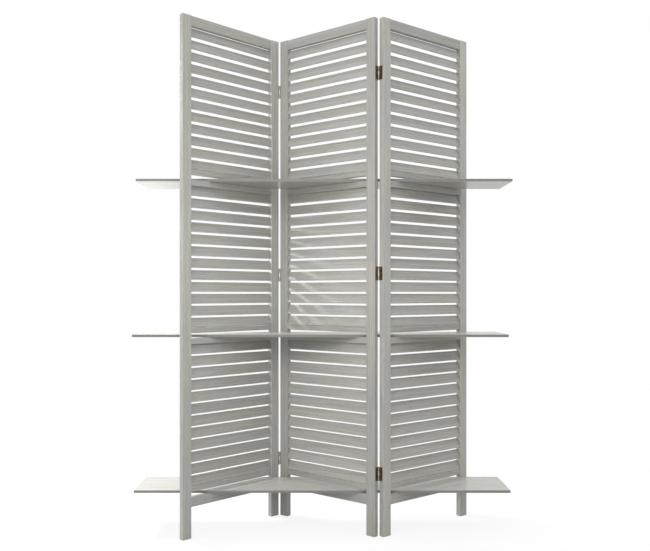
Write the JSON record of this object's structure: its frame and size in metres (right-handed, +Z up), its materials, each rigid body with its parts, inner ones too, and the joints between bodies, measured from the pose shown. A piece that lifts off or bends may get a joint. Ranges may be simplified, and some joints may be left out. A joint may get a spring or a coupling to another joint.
{
  "type": "folding screen",
  "caption": "Free-standing zigzag folding screen of hinged louvred panels, with long shelf boards lying through slots in the panels.",
  "frame": {"origin": "on the floor, under the middle of the overall box", "axes": "+X along the shelf boards to the picture's right, +Y to the back, +Z up"},
  "size_m": [1.2626, 0.2888, 1.7],
  "materials": {
    "frame_wood": "grey wash, matt",
    "slat_wood": "grey wash, matt",
    "board_wood": "grey wash, matt",
    "bronze_hinge": "darkened, satin",
    "bronze_screw": "darkened, satin"
  },
  "bodies": {
    "middle_panel": {"middle_panel_left_stile": "frame_wood", "middle_panel_right_stile": "frame_wood", "middle_panel_top_rail": "frame_wood", "middle_panel_bottom_rail": "frame_wood", "middle_panel_top_shelf_rails": "frame_wood", "middle_panel_middle_shelf_rails": "frame_wood", "middle_panel_bottom_shelf_rail": "frame_wood", "middle_panel_top_louvres": "slat_wood", "middle_panel_middle_louvres": "slat_wood", "middle_panel_bottom_louvres": "slat_wood", "left_fold_low_inner_leaf": "bronze_hinge", "left_fold_low_pin": "bronze_hinge", "left_fold_middle_inner_leaf": "bronze_hinge", "left_fold_middle_pin": "bronze_hinge", "left_fold_high_inner_leaf": "bronze_hinge", "left_fold_high_pin": "bronze_hinge", "right_fold_low_inner_leaf": "bronze_hinge", "right_fold_low_pin": "bronze_hinge", "right_fold_middle_inner_leaf": "bronze_hinge", "right_fold_middle_pin": "bronze_hinge", "right_fold_high_inner_leaf": "bronze_hinge", "right_fold_high_pin": "bronze_hinge", "middle_panel_left_hinge_screws": "bronze_screw", "middle_panel_right_hinge_screws": "bronze_screw"},
    "left_panel": {"left_panel_outer_stile": "frame_wood", "left_panel_fold_stile": "frame_wood", "left_panel_top_rail": "frame_wood", "left_panel_bottom_rail": "frame_wood", "left_panel_top_shelf_rails": "frame_wood", "left_panel_middle_shelf_rails": "frame_wood", "left_panel_bottom_shelf_rail": "frame_wood", "left_panel_top_louvres": "slat_wood", "left_panel_middle_louvres": "slat_wood", "left_panel_bottom_louvres": "slat_wood", "left_fold_low_outer_leaf": "bronze_hinge", "left_fold_middle_outer_leaf": "bronze_hinge", "left_fold_high_outer_leaf": "bronze_hinge", "left_panel_hinge_screws": "bronze_screw"},
    "right_panel": {"right_panel_fold_stile": "frame_wood", "right_panel_outer_stile": "frame_wood", "right_panel_top_rail": "frame_wood", "right_panel_bottom_rail": "frame_wood", "right_panel_top_shelf_rails": "frame_wood", "right_panel_middle_shelf_rails": "frame_wood", "right_panel_bottom_shelf_rail": "frame_wood", "right_panel_top_louvres": "slat_wood", "right_panel_middle_louvres": "slat_wood", "right_panel_bottom_louvres": "slat_wood", "right_fold_low_outer_leaf": "bronze_hinge", "right_fold_middle_outer_leaf": "bronze_hinge", "right_fold_high_outer_leaf": "bronze_hinge", "right_panel_hinge_screws": "bronze_screw"},
    "top_shelf": {"top_shelf": "board_wood"},
    "middle_shelf": {"middle_shelf": "board_wood"},
    "bottom_shelf": {"bottom_shelf": "board_wood"}
  },
  "joints": [
    {"name": "left_fold", "type": "hinge", "parent": "middle_panel", "child": "left_panel", "pos_m": [-0.15269, 0.12979, 0.862], "axis": [0, 0, 1], "range_deg": [0, 100]},
    {"name": "right_fold", "type": "hinge", "parent": "middle_panel", "child": "right_panel", "pos_m": [0.18519, -0.09728, 0.862], "axis": [0, 0, 1], "range_deg": [0, 106]},
    {"name": "shelf_swivel", "type": "hinge", "parent": "middle_panel", "child": "middle_shelf", "pos_m": [0.01625, 0.01625, 0.65087], "axis": [0, 0, 1], "range_deg": [0, 53]},
    {"name": "top_shelf_slide", "type": "slide", "parent": "middle_shelf", "child": "top_shelf", "axis": [1, 0, 0], "range_m": [-0.4, 0.4]},
    {"name": "bottom_shelf_slide", "type": "slide", "parent": "middle_shelf", "child": "bottom_shelf", "axis": [1, 0, 0], "range_m": [-0.4, 0.4]}
  ],
  "couplings": [
    {"joint": "right_fold", "follows": "left_fold", "ratio": 1.06},
    {"joint": "shelf_swivel", "follows": "left_fold", "ratio": 0.53}
  ]
}
